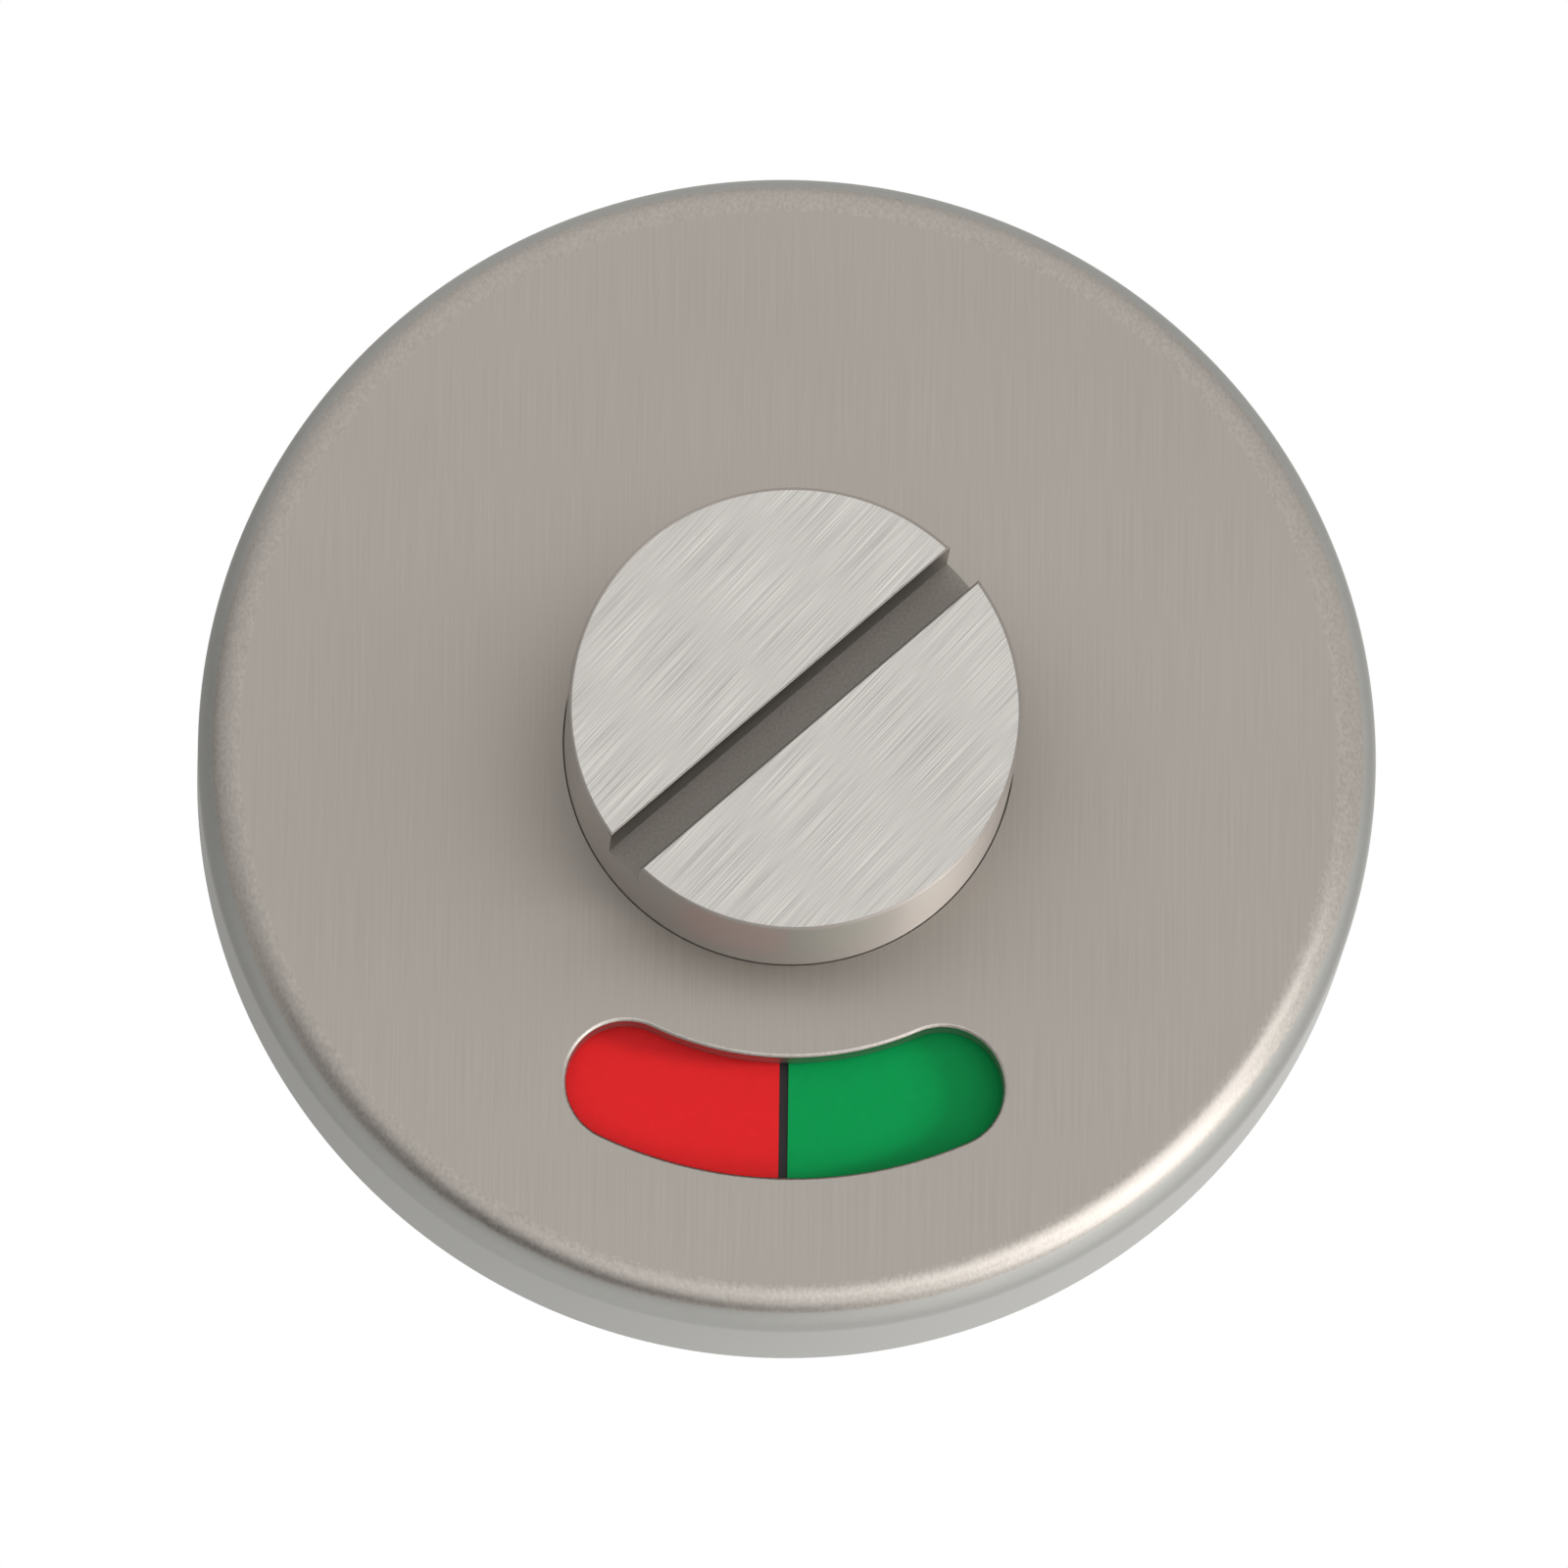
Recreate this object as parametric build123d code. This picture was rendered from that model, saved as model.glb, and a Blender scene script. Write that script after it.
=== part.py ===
from build123d import *
import math
import os

# Outside half of a toilet door knob set: a coin-release knob in a round rose,
# with a red and green indicator behind a curved window.
#
# The rose is drawn lying on its back: Z = 0 is the door face, +Z points at the user
# and +Y points up the door. The last lines stand it upright on a vertical door, so
# that the front faces -Y and the window is at the bottom. All sizes are in mm.

# Rose cover, pressed from stainless sheet
cover_diameter = 52.0
cover_depth = 8.0
cover_sheet = 1.1
cover_edge_radius = 1.85
cover_inside_bevel = 0.6
punched_edge_bevel = 0.2

# Indicator window, a curved slot below the knob
window_radius = 16.75
window_width = 5.3
window_half_angle = 24.5
window_middle_angle = 270.0

# Coin-release knob, turned from solid
knob_diameter = 19.8
knob_projection = 7.4
knob_edge_bevel = 0.15
knob_hole_clearance = 0.15
coin_slot_width = 1.9
coin_slot_depth = 3.1
coin_slot_angle = 42.0
shank_diameter = 12.0
shank_past_clip = 5.75
key_diameter = 15.0
key_flats = 13.0
key_clearance = 0.05

# Indicator disc and the two coloured foils on it
disc_thickness = 1.2
disc_past_labels = 0.1
disc_stiffener_width = 1.0
disc_stiffener_height = 0.5
disc_stiffener_inset = 1.8
label_thickness = 0.15
label_below_cover = 0.25
label_past_window = 0.9
label_sweep = 88.0
label_split = 0.4

# Quarter-turn stop: a peg under the disc in a curved track in the base plate
turn_each_way = 45.0
stop_radius = 14.0
stop_peg_diameter = 2.6
stop_track_clearance = 0.2
stop_track_depth = 1.5
stop_peg_lift = 0.3
stop_middle_angle = 90.0

# Base plate, moulded in black glass-filled nylon
plate_clearance = 0.2
plate_floor = 2.2
plate_back_chamfer = 0.4
plate_rim_width = 1.4
plate_rim_below_disc = 0.4
plate_pad_margin = 1.0
plate_rib_width = 1.2
plate_rib_angles = (30, 60, 90, 120, 150, 210, 240, 270, 300, 330)
washer_recess_radius = 11.0
washer_recess_depth = 1.2

# Key at the top of the plate, in a notch of the cover, which keeps the window down
key_notch_width = 4.0
key_notch_height = 1.8
key_notch_clearance = 0.1

# Open ring of flat spring wire that snaps the cover onto the plate
snap_wire_width = 1.0
snap_wire_depth = 1.0
snap_wire_bevel = 0.25
snap_ring_bite = 0.25
snap_ring_height = 2.5
snap_ring_gap_angle = 24.0
snap_groove_clearance = 0.05

# Flanged acetal bush that the shank turns in
bush_running_clearance = 0.05
bush_wall = 0.95
bush_flange_width = 1.5
bush_flange_thickness = 1.0
bush_seat_clearance = 0.02
bush_end_gap = 0.1
knob_end_play = 0.1

# Washers and retaining clip behind the plate
spring_washer_diameter = 19.0
spring_washer_sheet = 0.5
spring_washer_height = 0.9
thrust_washer_diameter = 18.0
thrust_washer_thickness = 0.5
washer_bore_clearance = 0.15
washer_gap = 0.05
clip_thickness = 1.0
clip_groove_depth = 0.25
clip_groove_side_clearance = 0.05
clip_seat_clearance = 0.02
clip_back_width = 1.9
clip_end_width = 1.1
clip_opening = 3.2
clip_lug_diameter = 3.2
clip_lug_hole_diameter = 1.5

# Threaded pillars that the through-bolts screw into, as far apart as the plate allows
pillar_hex_to_plate_edge = 1.2
pillar_diameter = 7.0
pillar_reach = 9.0
pillar_collar_diameter = 7.6
pillar_collar_clearance = 0.05
pillar_hex_flats = 9.0
pillar_hex_thickness = 1.6
pillar_hex_clearance = 0.05
pillar_hex_below_pad = 0.1
pillar_seat_clearance = 0.02
pillar_boss_wall = 1.0
pillar_bore_diameter = 3.3
pillar_bore_end_wall = 1.6

# Square spindle and the slotted spring pin that holds it
spindle_width = 6.0
spindle_reach = 45.0
spindle_clearance = 0.05
spindle_end_chamfer = 0.6
spindle_end_gap = 0.1
socket_end_wall = 4.3
pin_diameter = 2.0
pin_wall = 0.4
pin_slot_width = 0.5
pin_below_surface = 0.2
pin_hole_clearance = 0.01

# Radii that follow from the sizes above
cover_radius = cover_diameter / 2
cover_inner_radius = cover_radius - cover_sheet
plate_radius = cover_inner_radius - plate_clearance
knob_radius = knob_diameter / 2
shank_radius = shank_diameter / 2
label_inner_radius = window_radius - window_width / 2 - label_past_window
label_outer_radius = window_radius + window_width / 2 + label_past_window
disc_radius = label_outer_radius + disc_past_labels
track_width = stop_peg_diameter + 2 * stop_track_clearance
pad_radius = stop_radius + track_width / 2 + plate_pad_margin
bush_bore_radius = shank_radius + bush_running_clearance
bush_radius = bush_bore_radius + bush_wall
pillar_collar_radius = pillar_collar_diameter / 2
pillar_centres = 2 * (plate_radius - pillar_hex_to_plate_edge - pillar_hex_flats / 2)
washer_bore_radius = shank_radius + washer_bore_clearance
clip_groove_radius = shank_radius - clip_groove_depth
socket_half_width = spindle_width / 2 + spindle_clearance

# Levels above the door face, worked down from the front of the rose
knob_top = cover_depth + knob_projection
label_top = cover_depth - cover_sheet - label_below_cover
disc_top = label_top - label_thickness
disc_bottom = disc_top - disc_thickness
bush_top = disc_bottom - knob_end_play
pad_top = bush_top - bush_flange_thickness
rim_top = disc_bottom - plate_rim_below_disc
track_floor = pad_top - stop_track_depth
hex_top = pad_top - pillar_hex_below_pad
hex_seat = hex_top - pillar_hex_thickness
spring_washer_low = washer_recess_depth - spring_washer_height
thrust_washer_top = spring_washer_low - washer_gap
clip_top = thrust_washer_top - thrust_washer_thickness
clip_bottom = clip_top - clip_thickness
shank_end = clip_bottom - shank_past_clip
pin_level = (clip_bottom + shank_end) / 2
socket_end = cover_depth + (knob_projection - coin_slot_depth - socket_end_wall)


def turned(points, sweep=360):
    """A body of revolution about Z from its half section, given as radius and level."""
    section = make_face(Polyline(*points, close=True))
    return revolve(Plane.XZ * section, axis=Axis.Z, revolution_arc=sweep)


def ring(outer_radius, inner_radius, low, high):
    """A plain ring between two levels."""
    section = ((inner_radius, low), (outer_radius, low), (outer_radius, high), (inner_radius, high))
    return turned(section)


def disc(radius, low, high):
    """A plain round bar between two levels."""
    return Pos(0, 0, low) * extrude(Circle(radius), high - low)


def curved_slot(radius, width, middle_angle, half_angle, low, high):
    """A slot along an arc, with round ends, between two levels."""
    centre_line = CenterArc((0, 0), radius, middle_angle - half_angle, 2 * half_angle)
    return Pos(0, 0, low) * extrude(SlotArc(centre_line, width), high - low)


def snap_wire_section(clearance):
    """Half section of the snap ring, bevelled where it bites into the cover."""
    outside = cover_inner_radius + snap_ring_bite + clearance
    inside = cover_inner_radius + snap_ring_bite - snap_wire_depth - clearance
    low = snap_ring_height - snap_wire_width / 2 - clearance
    high = snap_ring_height + snap_wire_width / 2 + clearance
    return (
        (inside, low),
        (outside - snap_wire_bevel, low),
        (outside, low + snap_wire_bevel),
        (outside, high - snap_wire_bevel),
        (outside - snap_wire_bevel, high),
        (inside, high),
    )


def at_pillars(shape):
    """Two copies of a shape, on the centres of the through-bolts."""
    return [Pos(side * pillar_centres / 2, 0, 0) * shape for side in (-1, 1)]


def make_cover_rose():
    outside = disc(cover_radius, 0, cover_depth)
    outside = fillet(outside.edges().group_by(Axis.Z)[-1], cover_edge_radius)
    inside = disc(cover_inner_radius, 0, cover_depth - cover_sheet)
    inside = chamfer(inside.edges().group_by(Axis.Z)[-1], cover_inside_bevel)
    cover = outside - inside
    cover -= disc(knob_radius + knob_hole_clearance, 0, cover_depth)
    cover -= curved_slot(
        window_radius, window_width, window_middle_angle, window_half_angle, 0, cover_depth
    )
    # the sheet is eased along the punched window
    front_edges = cover.edges().filter_by_position(Axis.Z, cover_depth, cover_depth)
    window_edges = [e for e in front_edges if e.center(CenterOf.MASS).Y < -window_radius / 2]
    cover = chamfer(window_edges, punched_edge_bevel)
    cover -= turned(snap_wire_section(snap_groove_clearance))
    notch = Box(key_notch_width, 2 * cover_sheet, key_notch_height)
    return cover - Pos(0, cover_radius - cover_sheet / 2, key_notch_height / 2) * notch


def make_base_plate():
    bore = bush_radius + bush_seat_clearance
    rim_inside = plate_radius - plate_rim_width
    plate = turned(
        (
            (bore, washer_recess_depth),
            (washer_recess_radius, washer_recess_depth),
            (washer_recess_radius, 0),
            (plate_radius - plate_back_chamfer, 0),
            (plate_radius, plate_back_chamfer),
            (plate_radius, rim_top),
            (rim_inside, rim_top),
            (rim_inside, plate_floor),
            (pad_radius, plate_floor),
            (pad_radius, pad_top),
            (bore, pad_top),
        )
    )
    rib_length = rim_inside - pad_radius + plate_rim_width
    rib_middle = pad_radius + (rim_inside - pad_radius) / 2
    rib = Box(rib_length, plate_rib_width, pad_top - plate_floor)
    for angle in plate_rib_angles:
        plate += Rot(0, 0, angle) * Pos(rib_middle, 0, (pad_top + plate_floor) / 2) * rib
    boss_radius = pillar_hex_flats / math.sqrt(3) + pillar_boss_wall
    for boss in at_pillars(disc(boss_radius, plate_floor / 2, pad_top)):
        plate += boss & disc(plate_radius, 0, pad_top)
    plate -= curved_slot(
        stop_radius, track_width, stop_middle_angle, turn_each_way, track_floor, pad_top
    )
    pocket_floor = hex_seat - pillar_seat_clearance
    for pocket in at_pillars(pillar_hex(pocket_floor, pad_top, pillar_hex_clearance)):
        plate -= pocket
    for hole in at_pillars(disc(pillar_collar_radius + pillar_collar_clearance, 0, pad_top)):
        plate -= hole
    plate -= turned(snap_wire_section(snap_groove_clearance))
    key_tip = cover_radius - key_notch_clearance
    key_root = plate_radius - plate_rim_width
    key = Box(
        key_notch_width - 2 * key_notch_clearance,
        key_tip - key_root,
        key_notch_height - key_notch_clearance,
    )
    key_level = (key_notch_height - key_notch_clearance) / 2
    return plate + Pos(0, (key_tip + key_root) / 2, key_level) * key


def pillar_hex(low, high, clearance):
    """The hexagon of a pillar's head, with its flats towards the rose's edge."""
    hexagon = RegularPolygon(pillar_hex_flats / 2 + clearance, 6, major_radius=False)
    return Pos(0, 0, low) * extrude(Rot(0, 0, 30) * hexagon, high - low)


def make_threaded_pillars():
    pillar = pillar_hex(hex_seat, hex_top, 0)
    pillar += disc(pillar_collar_radius, 0, hex_seat)
    pillar += disc(pillar_diameter / 2, -pillar_reach, 0)
    bore = disc(pillar_bore_diameter / 2, -pillar_reach, hex_top - pillar_bore_end_wall)
    return Compound(children=at_pillars(pillar - bore))


def make_knob_bush():
    flange_radius = bush_radius + bush_flange_width
    return turned(
        (
            (bush_bore_radius, washer_recess_depth + bush_end_gap),
            (bush_radius, washer_recess_depth + bush_end_gap),
            (bush_radius, pad_top),
            (flange_radius, pad_top),
            (flange_radius, bush_top),
            (bush_bore_radius, bush_top),
        )
    )


def make_snap_ring():
    wire = turned(snap_wire_section(0), 360 - snap_ring_gap_angle)
    return Rot(0, 0, stop_middle_angle + snap_ring_gap_angle / 2) * wire


def make_spring_washer():
    """A flat ring rolled about one axis, so that it touches on two lines each way."""
    outer_radius = spring_washer_diameter / 2
    rise = spring_washer_height - spring_washer_sheet
    bend_radius = (outer_radius**2 + rise**2) / (2 * rise)
    bend_centre = washer_recess_depth - bend_radius
    sheet = Circle(bend_radius) - Circle(bend_radius - spring_washer_sheet)
    rolled = Pos(0, 0, bend_centre) * extrude(
        Plane.XZ * sheet, amount=outer_radius, both=True
    )
    return rolled & ring(outer_radius, washer_bore_radius, 0, washer_recess_depth)


def key_section(clearance, low, high):
    """The round bar with two flats that turns the disc with the knob."""
    bar = disc(key_diameter / 2 + clearance, low, high)
    return bar & Box(key_diameter * 2, key_flats + 2 * clearance, 4 * cover_depth)


def make_release_knob():
    head = disc(knob_radius, disc_top, knob_top)
    slot = Box(2 * knob_diameter, coin_slot_width, 2 * coin_slot_depth)
    head -= Pos(0, 0, knob_top) * Rot(0, 0, coin_slot_angle) * slot
    head = chamfer(head.edges().group_by(Axis.Z)[-1], knob_edge_bevel)
    knob = head + key_section(0, disc_bottom, disc_top)
    knob += disc(shank_radius, shank_end, disc_bottom)
    groove_low = clip_bottom - clip_groove_side_clearance
    groove_high = clip_top + clip_groove_side_clearance
    knob -= ring(shank_radius + clip_groove_depth, clip_groove_radius, groove_low, groove_high)
    socket = Rectangle(2 * socket_half_width, 2 * socket_half_width)
    knob -= Pos(0, 0, shank_end) * extrude(socket, socket_end - shank_end)
    return knob - pin_hole()


def pin_hole():
    """The cross hole through the shank and the spindle."""
    hole = Cylinder(pin_diameter / 2 + pin_hole_clearance, 2 * shank_diameter)
    return Pos(0, 0, pin_level) * Rot(0, 90, 0) * hole


def make_indicator_disc():
    plate = disc(disc_radius, disc_bottom, disc_top) - key_section(
        key_clearance, disc_bottom, disc_top
    )
    stiffener_radius = disc_radius - disc_stiffener_inset
    plate += ring(
        stiffener_radius,
        stiffener_radius - disc_stiffener_width,
        disc_bottom - disc_stiffener_height,
        disc_bottom,
    )
    peg = disc(stop_peg_diameter / 2, track_floor + stop_peg_lift, disc_bottom)
    return plate + Rot(0, 0, stop_middle_angle) * Pos(stop_radius, 0, 0) * peg


def make_label(start_angle):
    """One coloured foil, a sector cut straight along the split in the middle."""
    corner = Rectangle(
        label_outer_radius - label_inner_radius, label_thickness, align=(Align.MIN, Align.MIN)
    )
    section = Plane.XZ * Pos(label_inner_radius, disc_top) * corner
    foil = Rot(0, 0, start_angle) * revolve(section, axis=Axis.Z, revolution_arc=label_sweep)
    split = Box(label_split, 2 * label_outer_radius, cover_depth)
    return foil - Pos(0, -label_outer_radius, disc_top) * split


def make_thrust_washer():
    return ring(
        thrust_washer_diameter / 2,
        washer_bore_radius,
        thrust_washer_top - thrust_washer_thickness,
        thrust_washer_top,
    )


def make_circlip():
    """A retaining ring that is widest at the back and narrows to two pierced lugs."""
    inner_radius = clip_groove_radius + clip_seat_clearance
    outer_radius = inner_radius + (clip_back_width + clip_end_width) / 2
    off_centre = (clip_back_width - clip_end_width) / 2
    lug_radius = clip_lug_diameter / 2
    lug_side = clip_opening / 2 + lug_radius
    lug_middle = Vector(lug_side, math.sqrt((inner_radius + lug_radius) ** 2 - lug_side**2))
    outline = Pos(0, -off_centre) * Circle(outer_radius)
    for side in (-1, 1):
        outline += Pos(side * lug_middle.X, lug_middle.Y) * Circle(lug_radius)
    outline -= Circle(inner_radius)
    outline -= Pos(0, outer_radius) * Rectangle(clip_opening, 2 * outer_radius)
    for side in (-1, 1):
        outline -= Pos(side * lug_middle.X, lug_middle.Y) * Circle(clip_lug_hole_diameter / 2)
    return Pos(0, 0, clip_bottom) * extrude(outline, clip_thickness)


def make_square_spindle():
    top = socket_end - spindle_end_gap
    bar = extrude(Rectangle(spindle_width, spindle_width), top + spindle_reach)
    spindle = Pos(0, 0, -spindle_reach) * bar
    ends = spindle.edges().group_by(Axis.Z)
    spindle = chamfer(ends[0] + ends[-1], spindle_end_chamfer)
    return spindle - pin_hole()


def make_spindle_pin():
    pin_radius = pin_diameter / 2
    section = Circle(pin_radius) - Circle(pin_radius - pin_wall)
    section -= Pos(0, pin_radius) * Rectangle(pin_slot_width, pin_diameter)
    half_length = shank_radius - pin_below_surface
    tube = extrude(section, amount=half_length, both=True)
    return Pos(0, 0, pin_level) * Rot(0, 90, 0) * tube


pieces = {
    "cover_rose": make_cover_rose(),
    "base_plate": make_base_plate(),
    "knob_bush": make_knob_bush(),
    "threaded_pillars": make_threaded_pillars(),
    "snap_ring": make_snap_ring(),
    "spring_washer": make_spring_washer(),
    "release_knob": make_release_knob(),
    "indicator_disc": make_indicator_disc(),
    "red_label": make_label(window_middle_angle - label_sweep),
    "green_label": make_label(window_middle_angle),
    "thrust_washer": make_thrust_washer(),
    "circlip": make_circlip(),
    "square_spindle": make_square_spindle(),
    "spindle_pin": make_spindle_pin(),
}

# Stand the rose upright on the door: its back lies on the plane Y = 0
upright = Rot(90, 0, 0)
os.makedirs("parts", exist_ok=True)
for name, piece in pieces.items():
    export_step(upright * piece, f"parts/{name}.step")
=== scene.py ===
from math import cos, pi, radians, sin

import bmesh
import bpy
from mathutils import Matrix, Vector


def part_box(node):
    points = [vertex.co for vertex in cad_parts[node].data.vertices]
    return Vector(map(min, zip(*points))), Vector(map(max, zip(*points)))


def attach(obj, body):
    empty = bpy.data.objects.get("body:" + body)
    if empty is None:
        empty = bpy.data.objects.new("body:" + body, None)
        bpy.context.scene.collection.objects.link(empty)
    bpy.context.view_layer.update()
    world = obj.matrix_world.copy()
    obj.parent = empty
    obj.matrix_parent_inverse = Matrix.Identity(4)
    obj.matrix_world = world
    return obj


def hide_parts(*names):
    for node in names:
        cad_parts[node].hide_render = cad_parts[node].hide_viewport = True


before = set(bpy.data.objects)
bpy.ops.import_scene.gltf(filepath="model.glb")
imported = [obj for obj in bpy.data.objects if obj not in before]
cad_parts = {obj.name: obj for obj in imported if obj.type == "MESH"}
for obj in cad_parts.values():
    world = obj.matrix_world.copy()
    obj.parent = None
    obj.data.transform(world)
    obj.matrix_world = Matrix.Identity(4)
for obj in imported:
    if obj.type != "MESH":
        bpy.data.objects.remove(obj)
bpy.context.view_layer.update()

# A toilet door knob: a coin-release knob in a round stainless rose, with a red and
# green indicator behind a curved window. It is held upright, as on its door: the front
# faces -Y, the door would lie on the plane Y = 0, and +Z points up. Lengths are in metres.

mm = 0.001

# Studio: the camera looks at the rose from a little below and from the left, from far
# off through a long lens, as the photograph does.
camera_below = radians(12.2)
camera_left = radians(1.91)
camera_tilt = radians(0.7)
camera_distance = 775.9 * mm
camera_lens = 405
camera_sensor = 36
camera_nearest = 0.01
camera_farthest = 50
camera_aim = Vector((-0.2 * mm, -8.0 * mm, -1.8 * mm))

away = Vector((-sin(camera_left), -cos(camera_left) * cos(camera_below), -sin(camera_below)))
away.normalize()
camera_data = bpy.data.cameras.new("camera")
camera_data.lens = camera_lens
camera_data.sensor_width = camera_sensor
camera_data.clip_start = camera_nearest
camera_data.clip_end = camera_farthest
camera = bpy.data.objects.new("camera", camera_data)
bpy.context.scene.collection.objects.link(camera)
upright = away.to_track_quat("Z", "Y").to_matrix().to_4x4()
camera.matrix_world = (
    Matrix.Translation(camera_aim + away * camera_distance)
    @ upright
    @ Matrix.Rotation(camera_tilt, 4, "Z")
)
bpy.context.scene.camera = camera
bpy.context.scene.view_settings.view_transform = "Standard"


def link(tree, start, start_socket, end, end_socket):
    tree.links.new(start.outputs[start_socket], end.inputs[end_socket])


def new_material(name):
    """A material, its nodes and its shader."""
    material = bpy.data.materials.new(name)
    material.use_nodes = True
    return material, material.node_tree, material.node_tree.nodes["Principled BSDF"]


# The floor is a wide pale sheet below the rose, which holds its soft shadow. Far out it
# fades into the white room, and the camera sees it a little whiter than its light alone.
# From below it can't be seen, so that it doesn't veil the rose in a low view.
floor_level = -0.22
floor_size = 4.0
floor_solid = 0.7
floor_end = 1.5
floor_colour = (0.9, 0.9, 0.9, 1)
floor_roughness = 0.9
floor_gloss = 0.1
floor_whiter = 0.2
bpy.ops.object.select_all(action="DESELECT")
bpy.ops.mesh.primitive_plane_add(size=floor_size, location=(0, 0, floor_level))
floor = bpy.context.object
floor.name = "floor"
paper, tree, shader = new_material("floor_paper")
shader.inputs["Base Color"].default_value = floor_colour
shader.inputs["Roughness"].default_value = floor_roughness
shader.inputs["Specular IOR Level"].default_value = floor_gloss
shader.inputs["Emission Color"].default_value = (1, 1, 1, 1)
seen = tree.nodes.new("ShaderNodeLightPath")
whiter = tree.nodes.new("ShaderNodeMath")
whiter.operation = "MULTIPLY"
whiter.inputs[1].default_value = floor_whiter
link(tree, seen, "Is Camera Ray", whiter, 0)
link(tree, whiter, 0, shader, "Emission Strength")
place = tree.nodes.new("ShaderNodeTexCoord")
reach = tree.nodes.new("ShaderNodeVectorMath")
reach.operation = "LENGTH"
link(tree, place, "Object", reach, 0)
fade = tree.nodes.new("ShaderNodeMapRange")
fade.interpolation_type = "SMOOTHSTEP"
fade.inputs["From Min"].default_value = floor_solid
fade.inputs["From Max"].default_value = floor_end
fade.inputs["To Min"].default_value = 1
fade.inputs["To Max"].default_value = 0
link(tree, reach, "Value", fade, "Value")
underside = tree.nodes.new("ShaderNodeNewGeometry")
from_above = tree.nodes.new("ShaderNodeMath")
from_above.operation = "SUBTRACT"
from_above.use_clamp = True
link(tree, fade, "Result", from_above, 0)
link(tree, underside, "Backfacing", from_above, 1)
link(tree, from_above, 0, shader, "Alpha")
floor.data.materials.append(paper)
floor.visible_diffuse = False
floor.visible_glossy = False
floor.visible_shadow = False

# The room is white to the camera. As light it is a plain pale room with soft patches, which
# the ground metal shows as bands: brighter above, low in front and at the right, and dark
# below and at the left. No piece is clear, so no ray passes through to see the white.
# A patch has a direction, the angles at which it starts and has ended, and its brightness.
room_level = 0.73
room_darkest = 0.08
room_tint = (1.0, 0.99, 0.975, 1)
room_patches = (
    ((0.05, -0.75, 0.66), 10, 62, 0.32),
    ((0.1, -0.86, -0.51), 20, 32, 0.5),
    ((0.7, -0.15, -0.7), 15, 52, 0.55),
    ((0.15, 0.2, -0.97), 15, 65, 0.22),
    ((0.95, -0.25, 0.15), 10, 35, 0.25),
    ((0.05, -0.5, -0.866), 6, 18, -0.65),
    ((-0.36, -0.56, -0.745), 8, 20, -0.65),
    ((-0.66, -0.58, -0.48), 12, 26, -0.4),
    ((-0.97, -0.1, 0.2), 8, 24, -0.35),
    ((-0.75, 0.65, 0.2), 20, 42, -0.25),
    ((0.35, 0.93, -0.1), 5, 35, 0.4),
)
world = bpy.data.worlds.new("studio")
bpy.context.scene.world = world
world.use_nodes = True
sky = world.node_tree
sky.nodes.clear()
heading = sky.nodes.new("ShaderNodeTexCoord")
level = sky.nodes.new("ShaderNodeValue")
level.outputs[0].default_value = room_level
for towards, inside, outside, brighter in room_patches:
    lean = sky.nodes.new("ShaderNodeVectorMath")
    lean.operation = "DOT_PRODUCT"
    lean.inputs[1].default_value = Vector(towards).normalized()
    link(sky, heading, "Generated", lean, 0)
    patch = sky.nodes.new("ShaderNodeMapRange")
    patch.interpolation_type = "SMOOTHSTEP"
    patch.inputs["From Min"].default_value = cos(radians(outside))
    patch.inputs["From Max"].default_value = cos(radians(inside))
    patch.inputs["To Max"].default_value = brighter
    link(sky, lean, "Value", patch, "Value")
    total = sky.nodes.new("ShaderNodeMath")
    link(sky, level, 0, total, 0)
    link(sky, patch, "Result", total, 1)
    level = total
lit = sky.nodes.new("ShaderNodeMath")
lit.operation = "MAXIMUM"
lit.inputs[1].default_value = room_darkest
link(sky, level, 0, lit, 0)
room_light = sky.nodes.new("ShaderNodeBackground")
room_light.inputs["Color"].default_value = room_tint
link(sky, lit, 0, room_light, "Strength")
white = sky.nodes.new("ShaderNodeBackground")
white.inputs["Color"].default_value = (1, 1, 1, 1)
path = sky.nodes.new("ShaderNodeLightPath")
room = sky.nodes.new("ShaderNodeMixShader")
link(sky, path, "Is Camera Ray", room, 0)
link(sky, room_light, 0, room, 1)
link(sky, white, 0, room, 2)
sky_out = sky.nodes.new("ShaderNodeOutputWorld")
link(sky, room, 0, sky_out, "Surface")


def softbox(name, place, size, power):
    """A square studio lamp that points at the rose."""
    data = bpy.data.lights.new(name, "AREA")
    data.size = size
    data.energy = power
    lamp = bpy.data.objects.new(name, data)
    bpy.context.scene.collection.objects.link(lamp)
    lamp.location = place
    lamp.rotation_euler = Vector(place).to_track_quat("Z", "Y").to_euler()
    return lamp


# the glint lamp shows only in the metal, the side lamp only shades the window's right end
softbox("low_right_lamp", (0.64, -0.56, -0.52), size=0.45, power=1.6)
glint_lamp = softbox("glint_lamp", (0.48, -0.84, -0.26), size=0.5, power=1.8)
glint_lamp.visible_diffuse = False
side_lamp = softbox("side_lamp", (0.92, -0.4, 0.0), size=0.2, power=7.5)
side_lamp.visible_glossy = False

# Cover: a cap pressed from 1.1 mm stainless sheet. Its front is belt-ground with an
# upright grain, its side is left as drawn. The knob hole, the window and the key notch
# are punched, and a groove inside takes the spring wire that it snaps onto.
cover_low, cover_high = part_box("cover_rose")
cover_radius = cover_high.x
cover_front = cover_low.y
cover_sheet = 1.1 * mm
cover_edge = 1.85 * mm
cover_inside_bevel = 0.6 * mm
knob_hole = 9.96 * mm
window_radius = 16.75 * mm
window_width = 5.3 * mm
window_half_angle = radians(24.5)
window_lip = 0.2 * mm
window_sweep_steps = 64
window_end_steps = 40
lip_steps = 6
punch_start = 0.5 * mm
ground_depth = 0.5 * mm
groove_near = 3.05 * mm
groove_far = 1.95 * mm
groove_depth = 0.3 * mm
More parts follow.
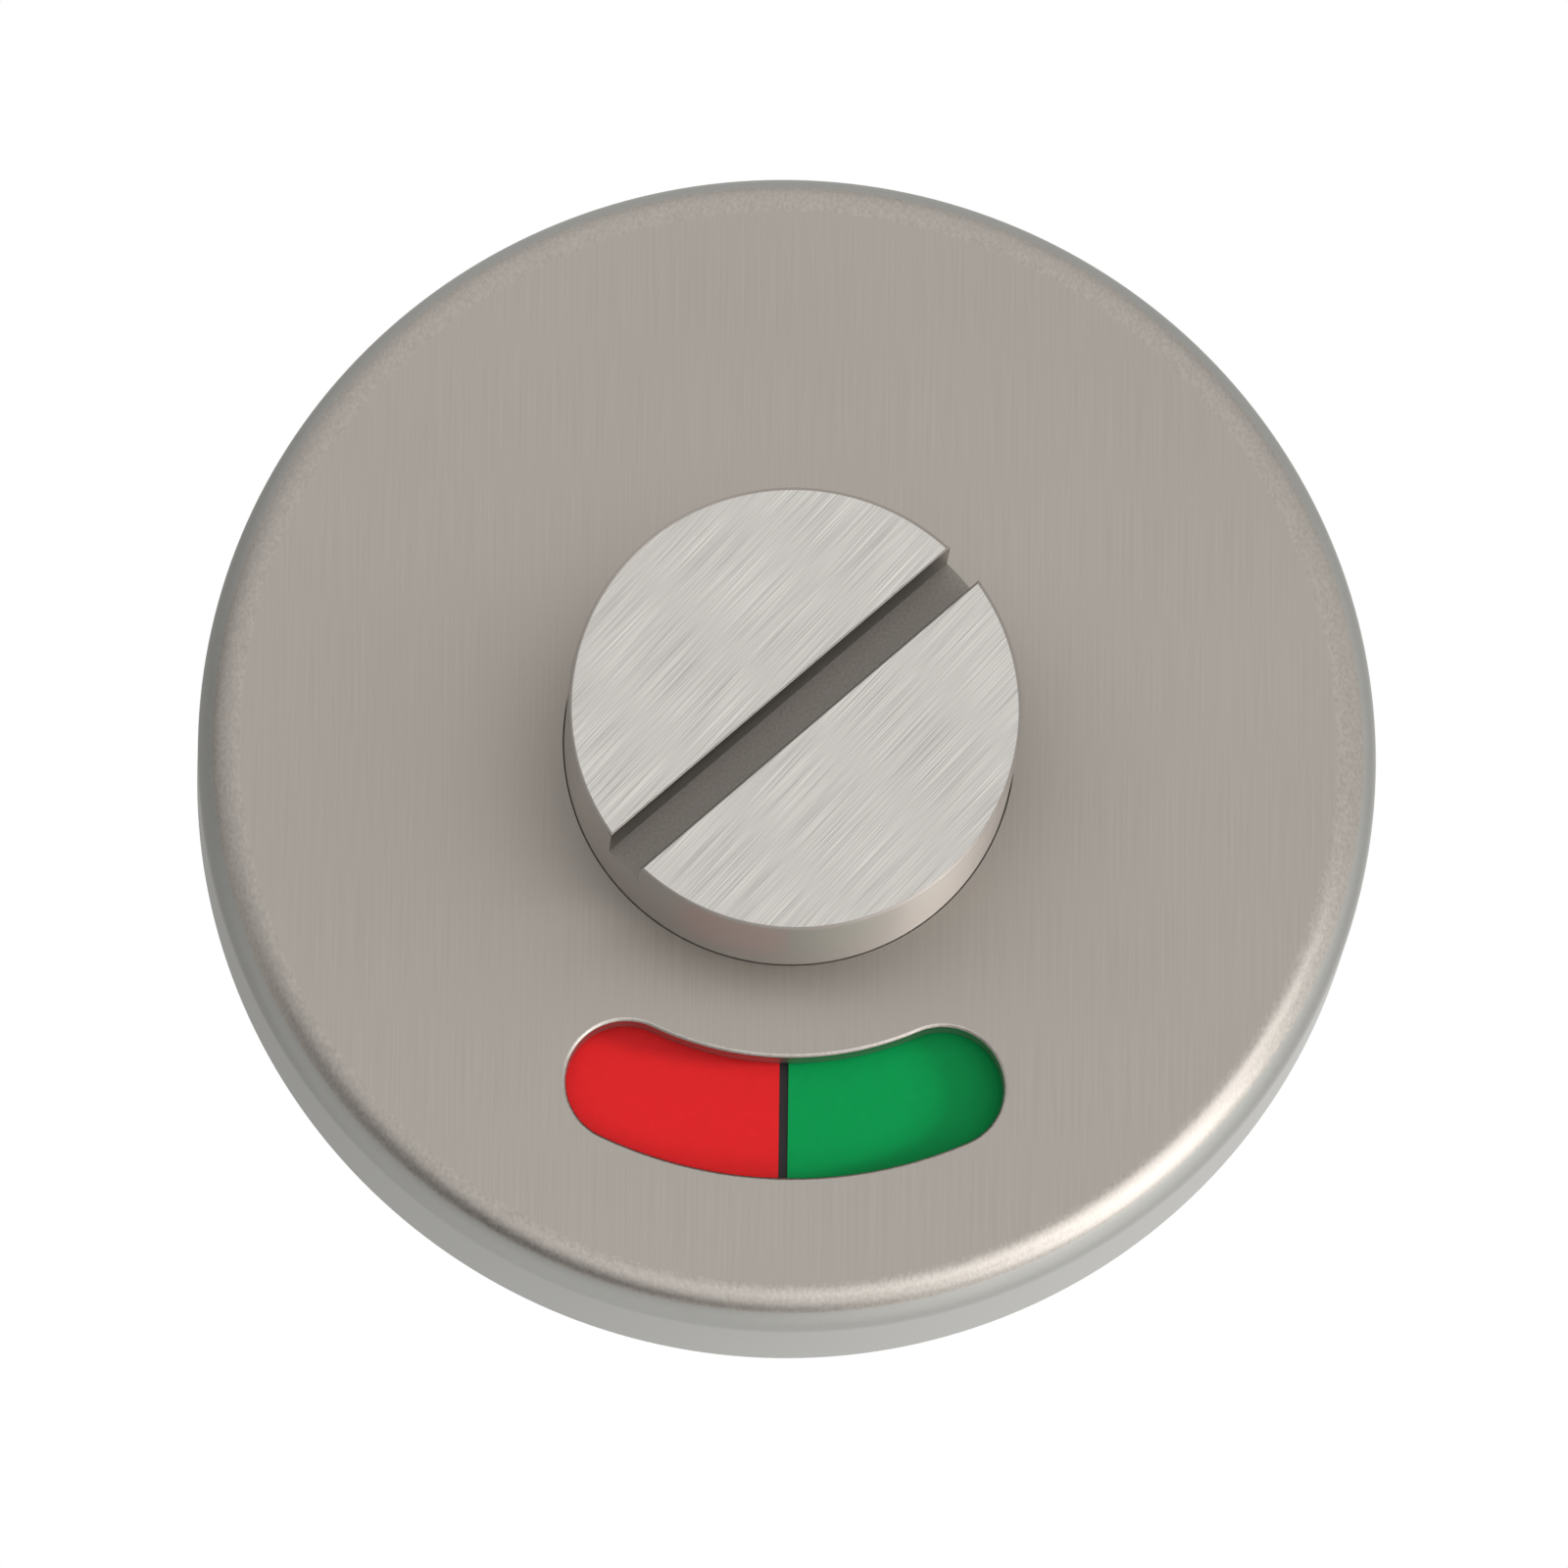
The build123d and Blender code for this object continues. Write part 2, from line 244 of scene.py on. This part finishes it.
groove_bevel = 0.25 * mm
notch_width = 4.0 * mm
notch_height = 1.8 * mm
around = 256
edge_steps = 24
seam = 0.0005 * mm
weld = 0.001 * mm
near = 0.01 * mm
dot = 1 * mm
cut_past = 1 * mm
crease = radians(35)
facing = 0.9999


def active(piece):
    """Makes one piece the only selected one."""
    bpy.ops.object.select_all(action="DESELECT")
    bpy.context.view_layer.objects.active = piece
    piece.select_set(True)


def lathe(name, section, closed=False):
    """Turns a body about the spindle: a circle, extruded and resized from ring to ring."""
    radius, level = section[0]
    bpy.ops.object.select_all(action="DESELECT")
    bpy.ops.mesh.primitive_circle_add(
        vertices=around, radius=radius, location=(0, level, 0), rotation=(pi / 2, 0, 0)
    )
    piece = bpy.context.object
    piece.name = name
    bpy.ops.object.transform_apply(location=True, rotation=True, scale=True)
    bpy.ops.object.mode_set(mode="EDIT")
    if not closed:
        bpy.ops.mesh.edge_face_add()
        bpy.ops.mesh.select_all(action="SELECT")
    for (r0, y0), (r1, y1) in zip(section, section[1:]):
        bpy.ops.mesh.extrude_edges_move(TRANSFORM_OT_translate={"value": (0, y1 - y0, 0)})
        bpy.ops.transform.resize(value=(r1 / r0, 1, r1 / r0), center_override=(0, y1, 0))
    if closed:
        bpy.ops.mesh.select_all(action="SELECT")
        bpy.ops.mesh.remove_doubles(threshold=seam)
    else:
        bpy.ops.mesh.edge_face_add()
    bpy.ops.mesh.select_all(action="SELECT")
    bpy.ops.mesh.normals_make_consistent(inside=False)
    bpy.ops.object.mode_set(mode="OBJECT")
    return piece


def rounded(centre_radius, centre_level, radius, steps):
    """Points on the quarter circle from a front face round to a side, in a half section."""
    turns = [radians(90 * i / steps - 90) for i in range(steps + 1)]
    return [(centre_radius + radius * cos(t), centre_level + radius * sin(t)) for t in turns]


def block(low, high):
    """A box between two corners."""
    low, high = Vector(low), Vector(high)
    bpy.ops.object.select_all(action="DESELECT")
    bpy.ops.mesh.primitive_cube_add(size=1, location=(low + high) / 2)
    piece = bpy.context.object
    piece.scale = high - low
    bpy.ops.object.transform_apply(location=True, rotation=True, scale=True)
    return piece


def cut(piece, cutter):
    """Takes the cutter's shape out of the piece, and merges what the cut leaves too small."""
    active(piece)
    knife = piece.modifiers.new("cut", "BOOLEAN")
    knife.operation = "DIFFERENCE"
    knife.solver = "EXACT"
    knife.object = cutter
    bpy.ops.object.modifier_apply(modifier=knife.name)
    bpy.data.objects.remove(cutter)
    bpy.ops.object.mode_set(mode="EDIT")
    bpy.ops.mesh.select_all(action="SELECT")
    bpy.ops.mesh.remove_doubles(threshold=weld)
    bpy.ops.mesh.select_all(action="SELECT")
    bpy.ops.mesh.dissolve_degenerate(threshold=weld)
    bpy.ops.object.mode_set(mode="OBJECT")


def smooth(piece):
    """Rounds the shading, but keeps corners and the borders of flat faces crisp."""
    active(piece)
    bpy.ops.object.shade_smooth_by_angle(angle=crease)
    mesh = bmesh.new()
    mesh.from_mesh(piece.data)
    for edge in mesh.edges:
        if len(edge.link_faces) == 2:
            flat = [abs(abs(f.normal.y) - 1) < 1e-6 for f in edge.link_faces]
            if flat[0] != flat[1]:
                edge.smooth = False
    mesh.to_mesh(piece.data)
    mesh.free()


def window_outline(growth, level):
    """Draws the window's outline, larger by a growth, by swinging a point round four arcs."""
    bpy.ops.mesh.select_all(action="DESELECT")
    bpy.ops.mesh.primitive_plane_add(size=dot)
    bpy.ops.mesh.merge(type="CENTER")
    inner = window_radius - window_width / 2 - growth
    left, right = [
        Vector((side * sin(window_half_angle), 0, -cos(window_half_angle))) for side in (-1, 1)
    ]
    bpy.ops.transform.translate(value=left * inner + Vector((0, level, 0)))
    for centre, turn, steps in (
        (Vector((0, 0, 0)), 2 * window_half_angle, window_sweep_steps),
        (right * window_radius, -pi, window_end_steps),
        (Vector((0, 0, 0)), -2 * window_half_angle, window_sweep_steps),
        (left * window_radius, -pi, window_end_steps),
    ):
        bpy.ops.mesh.spin(steps=steps, angle=turn, center=centre, axis=(0, 1, 0))


groove = cover_radius - cover_sheet + groove_depth
section = [(knob_hole, cover_front + cover_sheet), (knob_hole, cover_front)]
section += rounded(cover_radius - cover_edge, cover_front + cover_edge, cover_edge, edge_steps)
section += [
    (cover_radius, 0),
    (cover_radius - cover_sheet, 0),
    (cover_radius - cover_sheet, -groove_far),
    (groove - groove_bevel, -groove_far),
    (groove, -groove_far - groove_bevel),
    (groove, -groove_near + groove_bevel),
    (groove - groove_bevel, -groove_near),
    (cover_radius - cover_sheet, -groove_near),
    (cover_radius - cover_sheet, cover_front + cover_sheet + cover_inside_bevel),
    (cover_radius - cover_sheet - cover_inside_bevel, cover_front + cover_sheet),
    (knob_hole, cover_front + cover_sheet),
]
cover = lathe("rose_cover", section, closed=True)

# the window's punch flares at the front, which leaves the window a rounded lip
bpy.ops.object.select_all(action="DESELECT")
bpy.ops.mesh.primitive_plane_add(size=dot)
punch = bpy.context.object
bpy.ops.object.mode_set(mode="EDIT")
bpy.ops.mesh.delete(type="VERT")
window_outline(window_lip, cover_front - punch_start)
for step in range(lip_steps + 1):
    lean = radians(90 - 90 * step / lip_steps)
    window_outline(window_lip * (1 - cos(lean)), cover_front + window_lip * (1 - sin(lean)))
window_outline(0, cover_front + 2 * cover_sheet)
bpy.ops.mesh.select_all(action="SELECT")
bpy.ops.mesh.remove_doubles(threshold=weld)
bpy.ops.mesh.select_all(action="SELECT")
bpy.ops.mesh.bridge_edge_loops()
bpy.ops.mesh.select_all(action="SELECT")
bpy.ops.mesh.fill_holes(sides=0)
bpy.ops.mesh.select_all(action="SELECT")
bpy.ops.mesh.normals_make_consistent(inside=False)
bpy.ops.object.mode_set(mode="OBJECT")
cut(cover, punch)
notch_low = (-notch_width / 2, -notch_height, cover_radius - 1.5 * cover_sheet)
cut(cover, block(notch_low, (notch_width / 2, cut_past, cover_radius + cover_sheet)))
smooth(cover)


grain_detail = 2.0
grain_low, grain_high = 0.3, 0.7
grain_roughness_swing = 0.06
grain_bump = 0.15
grain_depth = 0.004 * mm
cloud_scale = 70
cloud_low, cloud_high = 0.96, 1.04


def grain(
    name,
    colour,
    roughness,
    line=(0.08 * mm, 6 * mm),
    contrast=0.05,
    turn=0,
    spread=0,
    across=None,
    metallic=1,
):
    """Ground metal: fine scratches of a width and a length, which run up or are turned.

    A spread over 0 scatters light more across the scratches than along them.
    """
    material, tree, shader = new_material(name)
    shader.inputs["Metallic"].default_value = metallic
    shader.inputs["Anisotropic"].default_value = spread
    scatter = tree.nodes.new("ShaderNodeCombineXYZ")
    for axis, value in zip("XYZ", across or (cos(turn), 0, sin(turn))):
        scatter.inputs[axis].default_value = value
    link(tree, scatter, "Vector", shader, "Tangent")
    place = tree.nodes.new("ShaderNodeTexCoord")
    turned = tree.nodes.new("ShaderNodeMapping")
    turned.inputs["Rotation"].default_value = (0, turn, 0)
    link(tree, place, "Object", turned, "Vector")
    stretched = tree.nodes.new("ShaderNodeMapping")
    stretched.inputs["Scale"].default_value = (1 / line[0], 1 / line[0], 1 / line[1])
    link(tree, turned, "Vector", stretched, "Vector")
    lines = tree.nodes.new("ShaderNodeTexNoise")
    lines.inputs["Scale"].default_value = 1.0
    lines.inputs["Detail"].default_value = grain_detail
    link(tree, stretched, "Vector", lines, "Vector")
    shade = tree.nodes.new("ShaderNodeMapRange")
    shade.inputs["From Min"].default_value = grain_low
    shade.inputs["From Max"].default_value = grain_high
    shade.inputs["To Min"].default_value = 1 - contrast
    shade.inputs["To Max"].default_value = 1 + contrast
    link(tree, lines, "Fac", shade, "Value")
    clouds = tree.nodes.new("ShaderNodeTexNoise")
    clouds.inputs["Scale"].default_value = cloud_scale
    link(tree, place, "Object", clouds, "Vector")
    uneven = tree.nodes.new("ShaderNodeMapRange")
    uneven.inputs["To Min"].default_value = cloud_low
    uneven.inputs["To Max"].default_value = cloud_high
    link(tree, clouds, "Fac", uneven, "Value")
    both = tree.nodes.new("ShaderNodeMath")
    both.operation = "MULTIPLY"
    link(tree, shade, "Result", both, 0)
    link(tree, uneven, "Result", both, 1)
    tint = tree.nodes.new("ShaderNodeVectorMath")
    tint.operation = "SCALE"
    tint.inputs[0].default_value = colour
    link(tree, both, 0, tint, "Scale")
    link(tree, tint, "Vector", shader, "Base Color")
    rough = tree.nodes.new("ShaderNodeMapRange")
    rough.inputs["To Min"].default_value = roughness - grain_roughness_swing
    rough.inputs["To Max"].default_value = roughness + grain_roughness_swing
    link(tree, lines, "Fac", rough, "Value")
    link(tree, rough, "Result", shader, "Roughness")
    bump = tree.nodes.new("ShaderNodeBump")
    bump.inputs["Strength"].default_value = grain_bump
    bump.inputs["Distance"].default_value = grain_depth
    link(tree, lines, "Fac", bump, "Height")
    link(tree, bump, "Normal", shader, "Normal")
    return material


satin_front = grain("satin_front", (0.416, 0.387, 0.353), 0.4, contrast=0.05, spread=0.8)
satin_edge = grain(
    "satin_edge",
    (0.39, 0.363, 0.334),
    0.33,
    line=(0.12 * mm, 0.2 * mm),
    contrast=0.10,
    spread=0.5,
)
drawn_side = grain(
    "drawn_side", (0.385, 0.385, 0.368), 0.42, line=(0.3 * mm, 0.3 * mm), contrast=0.02
)
for finish in (satin_front, satin_edge, drawn_side):
    cover.data.materials.append(finish)
for face in cover.data.polygons:
    if face.center.y > cover_front + ground_depth:
        face.material_index = 2
    elif face.normal.y > -facing or face.center.y > cover_front + near:
        face.material_index = 1
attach(cover, "rose")
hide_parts("cover_rose")

# Knob: turned from one stainless bar, with a coin slot milled across its brushed front.
# Two flats behind the head turn the disc, the shank runs back through the rose, and its
# square socket takes the spindle and the cross pin.
knob_low, knob_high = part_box("release_knob")
knob_front = knob_low.y
knob_end = knob_high.y
knob_radius = knob_high.x
knob_edge = 0.15 * mm
knob_edge_steps = 6
head_back = -6.5 * mm
key_radius = 7.5 * mm
key_half_flats = 6.5 * mm
key_back = -5.3 * mm
key_relief = 0.05 * mm
shank_radius = 6 * mm
clip_groove_radius = 5.75 * mm
clip_groove = (0.2 * mm, 1.3 * mm)
coin_slot_width = 1.9 * mm
coin_slot_depth = 3.1 * mm
coin_slot_angle = radians(42)
coin_slot_lip = 0.1 * mm
coin_slot_lip_steps = 4
socket_half_width = 3.05 * mm
socket_end = -8.0 * mm
pin_hole_radius = 1.01 * mm
pin_hole_level = 4.125 * mm
pin_hole_around = 48
brush_angle = radians(48)
rim_margin = 0.005 * mm

section = rounded(knob_radius - knob_edge, knob_front + knob_edge, knob_edge, knob_edge_steps)
section += [
    (knob_radius, head_back),
    (key_radius, head_back),
    (key_radius, key_back),
    (shank_radius, key_back),
    (shank_radius, clip_groove[0]),
    (clip_groove_radius, clip_groove[0]),
    (clip_groove_radius, clip_groove[1]),
    (shank_radius, clip_groove[1]),
    (shank_radius, knob_end),
]
knob = lathe("knob", section)

# the slot's cutter is drawn in section, with flared lips, and drawn out across the knob
half = coin_slot_width / 2
lip = [
    (half + coin_slot_lip * (1 - cos(lean)), coin_slot_lip * (1 - sin(lean)))
    for lean in [radians(90 * i / coin_slot_lip_steps) for i in range(coin_slot_lip_steps + 1)]
]
outline = [(-half, coin_slot_depth), (half, coin_slot_depth)] + lip
outline += [(half + coin_slot_lip, -cut_past), (-half - coin_slot_lip, -cut_past)]
outline += [(-across, depth) for across, depth in reversed(lip)]
bpy.ops.object.select_all(action="DESELECT")
bpy.ops.mesh.primitive_plane_add(size=dot)
cutter = bpy.context.object
bpy.ops.object.mode_set(mode="EDIT")
bpy.ops.mesh.merge(type="CENTER")
across, depth = outline[0]
bpy.ops.transform.translate(value=(-2 * knob_radius, knob_front + depth, across))
for here, there in zip(outline, outline[1:] + outline[:1]):
    step = (0, there[1] - here[1], there[0] - here[0])
    bpy.ops.mesh.extrude_region_move(TRANSFORM_OT_translate={"value": step})
bpy.ops.mesh.select_all(action="SELECT")
bpy.ops.mesh.remove_doubles(threshold=weld)
bpy.ops.mesh.select_all(action="SELECT")
bpy.ops.mesh.edge_face_add()
bpy.ops.mesh.extrude_region_move(TRANSFORM_OT_translate={"value": (4 * knob_radius, 0, 0)})
bpy.ops.mesh.select_all(action="SELECT")
bpy.ops.mesh.normals_make_consistent(inside=False)
bpy.ops.object.mode_set(mode="OBJECT")
cutter.rotation_euler = (0, -coin_slot_angle, 0)
bpy.ops.object.transform_apply(location=True, rotation=True, scale=True)
cut(knob, cutter)
for side in (-1, 1):
    flat = sorted((side * key_half_flats, side * (key_radius + key_relief)))
    flat_low = (-key_half_flats, head_back - key_relief, flat[0])
    cut(knob, block(flat_low, (key_half_flats, key_back + cut_past, flat[1])))
socket_low = (-socket_half_width, socket_end, -socket_half_width)
cut(knob, block(socket_low, (socket_half_width, 2 * knob_end, socket_half_width)))
bpy.ops.object.select_all(action="DESELECT")
bpy.ops.mesh.primitive_cylinder_add(
    vertices=pin_hole_around,
    radius=pin_hole_radius,
    depth=4 * shank_radius,
    location=(0, pin_hole_level, 0),
    rotation=(0, pi / 2, 0),
)
bpy.ops.object.transform_apply(location=True, rotation=True, scale=True)
cut(knob, bpy.context.object)
smooth(knob)

brushed_front = grain(
    "brushed_knob_front",
    (0.54, 0.525, 0.502),
    0.33,
    line=(0.035 * mm, 5.0 * mm),
    contrast=0.3,
    turn=brush_angle - pi / 2,
    spread=0.15,
)
# Turned side: the turned grain that scatters light along the axis is real. Its base colour,
# darker than the front's though the knob is one steel, is painted shade for the dark
# reflections along the side.
turned_side_painted_shade = grain(
    "turned_knob_side_painted_shade",
    (0.38, 0.348, 0.32),
    0.42,
    contrast=0.01,
    spread=1.0,
    across=(0, 1, 0),
)
# Milled slot: the milled grain is real. Its base colour, far darker than the brushed front's,
# is painted shade of the deep, narrow slot.
milled_slot_painted_shade = grain(
    "milled_slot_painted_shade", (0.215, 0.2, 0.182), 0.4, line=(0.15 * mm, 0.15 * mm), contrast=0.12
)
for finish in (brushed_front, turned_side_painted_shade, milled_slot_painted_shade):
    knob.data.materials.append(finish)
# The front takes the brushed finish. The slot takes the milled finish with its painted shade,
# and the rest of the knob takes the turned finish with its painted shade.
for face in knob.data.polygons:
    middle = face.center
    off_slot = abs(middle.z * cos(coin_slot_angle) - middle.x * sin(coin_slot_angle))
    inside_rim = middle.xz.length < knob_radius - rim_margin
    in_slot = off_slot < half + coin_slot_lip and inside_rim
    if face.normal.y < -facing and middle.y < knob_front + near:
        face.material_index = 0
    elif in_slot and middle.y < knob_front + coin_slot_depth + near:
        face.material_index = 2
    else:
        face.material_index = 1
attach(knob, "knob")
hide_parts("release_knob")


speck_scale = 1800
speck_low, speck_high = 0.94, 1.06
speck_bump = 0.1
speck_depth = 0.01 * mm


def plastic(name, colour, roughness, gloss=0.3):
    """Moulded or printed plastic with a faint texture."""
    material, tree, shader = new_material(name)
    shader.inputs["Roughness"].default_value = roughness
    shader.inputs["Specular IOR Level"].default_value = gloss
    place = tree.nodes.new("ShaderNodeTexCoord")
    specks = tree.nodes.new("ShaderNodeTexNoise")
    specks.inputs["Scale"].default_value = speck_scale
    link(tree, place, "Object", specks, "Vector")
    shade = tree.nodes.new("ShaderNodeMapRange")
    shade.inputs["To Min"].default_value = speck_low
    shade.inputs["To Max"].default_value = speck_high
    link(tree, specks, "Fac", shade, "Value")
    tint = tree.nodes.new("ShaderNodeVectorMath")
    tint.operation = "SCALE"
    tint.inputs[0].default_value = colour
    link(tree, shade, "Result", tint, "Scale")
    link(tree, tint, "Vector", shader, "Base Color")
    bump = tree.nodes.new("ShaderNodeBump")
    bump.inputs["Strength"].default_value = speck_bump
    bump.inputs["Distance"].default_value = speck_depth
    link(tree, specks, "Fac", bump, "Height")
    link(tree, bump, "Normal", shader, "Normal")
    return material


def dress(node, material):
    """Gives a piece that stays as the CAD made it its one material."""
    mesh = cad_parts[node].data
    mesh.materials.clear()
    mesh.materials.append(material)


# Red label: a matt printed plastic foil, stuck on the front of the disc. It fills the
# window when the door is locked.
dress("red_label", plastic("red_foil", (0.60, 0.014, 0.016), 0.5, gloss=0.08))

# Green label: the same foil in green, stuck beside the red one with a dark gap between
# them. It fills the window when the door is free.
dress("green_label", plastic("green_foil", (0.0, 0.25, 0.06), 0.5, gloss=0.08))

# Indicator disc: black moulded plastic, pushed onto the two flats of the knob, so that it
# turns with it. A peg on its back runs in the plate's stop track.
dress("indicator_disc", plastic("black_disc", (0.012, 0.012, 0.013), 0.45))

# Base plate: black glass-filled nylon, moulded with its ribs and its stop track. It lies
# on the door and carries every other piece.
dress("base_plate", plastic("black_nylon", (0.02, 0.02, 0.021), 0.6))

# Bush: a flanged sleeve of white acetal, pressed into the middle of the plate. The knob's
# shank turns in it.
dress("knob_bush", plastic("white_acetal", (0.7, 0.69, 0.65), 0.4))

# Pillars: turned from zinc-plated steel, with hexagon heads that sit in pockets of the
# plate. The bolts through the door screw into them.
dress("threaded_pillars", grain("zinc_plate", (0.6, 0.62, 0.65), 0.3))

# Snap ring: an open ring of bent spring wire, in the groove between plate and cover. The
# cover snaps onto it.
dress("snap_ring", grain("spring_wire", (0.3, 0.29, 0.28), 0.3))

# Spring washer: a ring of oiled spring steel, rolled to a slight curve. It takes up the
# knob's end play and gives it some drag.
dress("spring_washer", grain("oiled_spring_steel", (0.32, 0.31, 0.3), 0.35))

# Thrust washer: punched from bright steel. It lies between the spring washer and the
# clip, so that the clip doesn't rub.
dress("thrust_washer", grain("bright_washer", (0.55, 0.55, 0.55), 0.3))

# Circlip: punched from blackened spring steel, with two lugs for pliers. It snaps into
# the groove of the shank and keeps the knob in the plate.
dress("circlip", grain("dark_clip_steel", (0.06, 0.057, 0.055), 0.4, metallic=0.6))

# Spindle: a cut length of bright drawn square steel bar, held in the shank's socket. It
# goes back through the door and works the lock.
dress("square_spindle", grain("drawn_bar", (0.55, 0.56, 0.58), 0.3))

# Cross pin: a slotted pin rolled from spring steel, driven through the shank and the
# spindle. It keeps the spindle in its socket.
dress("spindle_pin", grain("pin_steel", (0.2, 0.2, 0.2), 0.35))
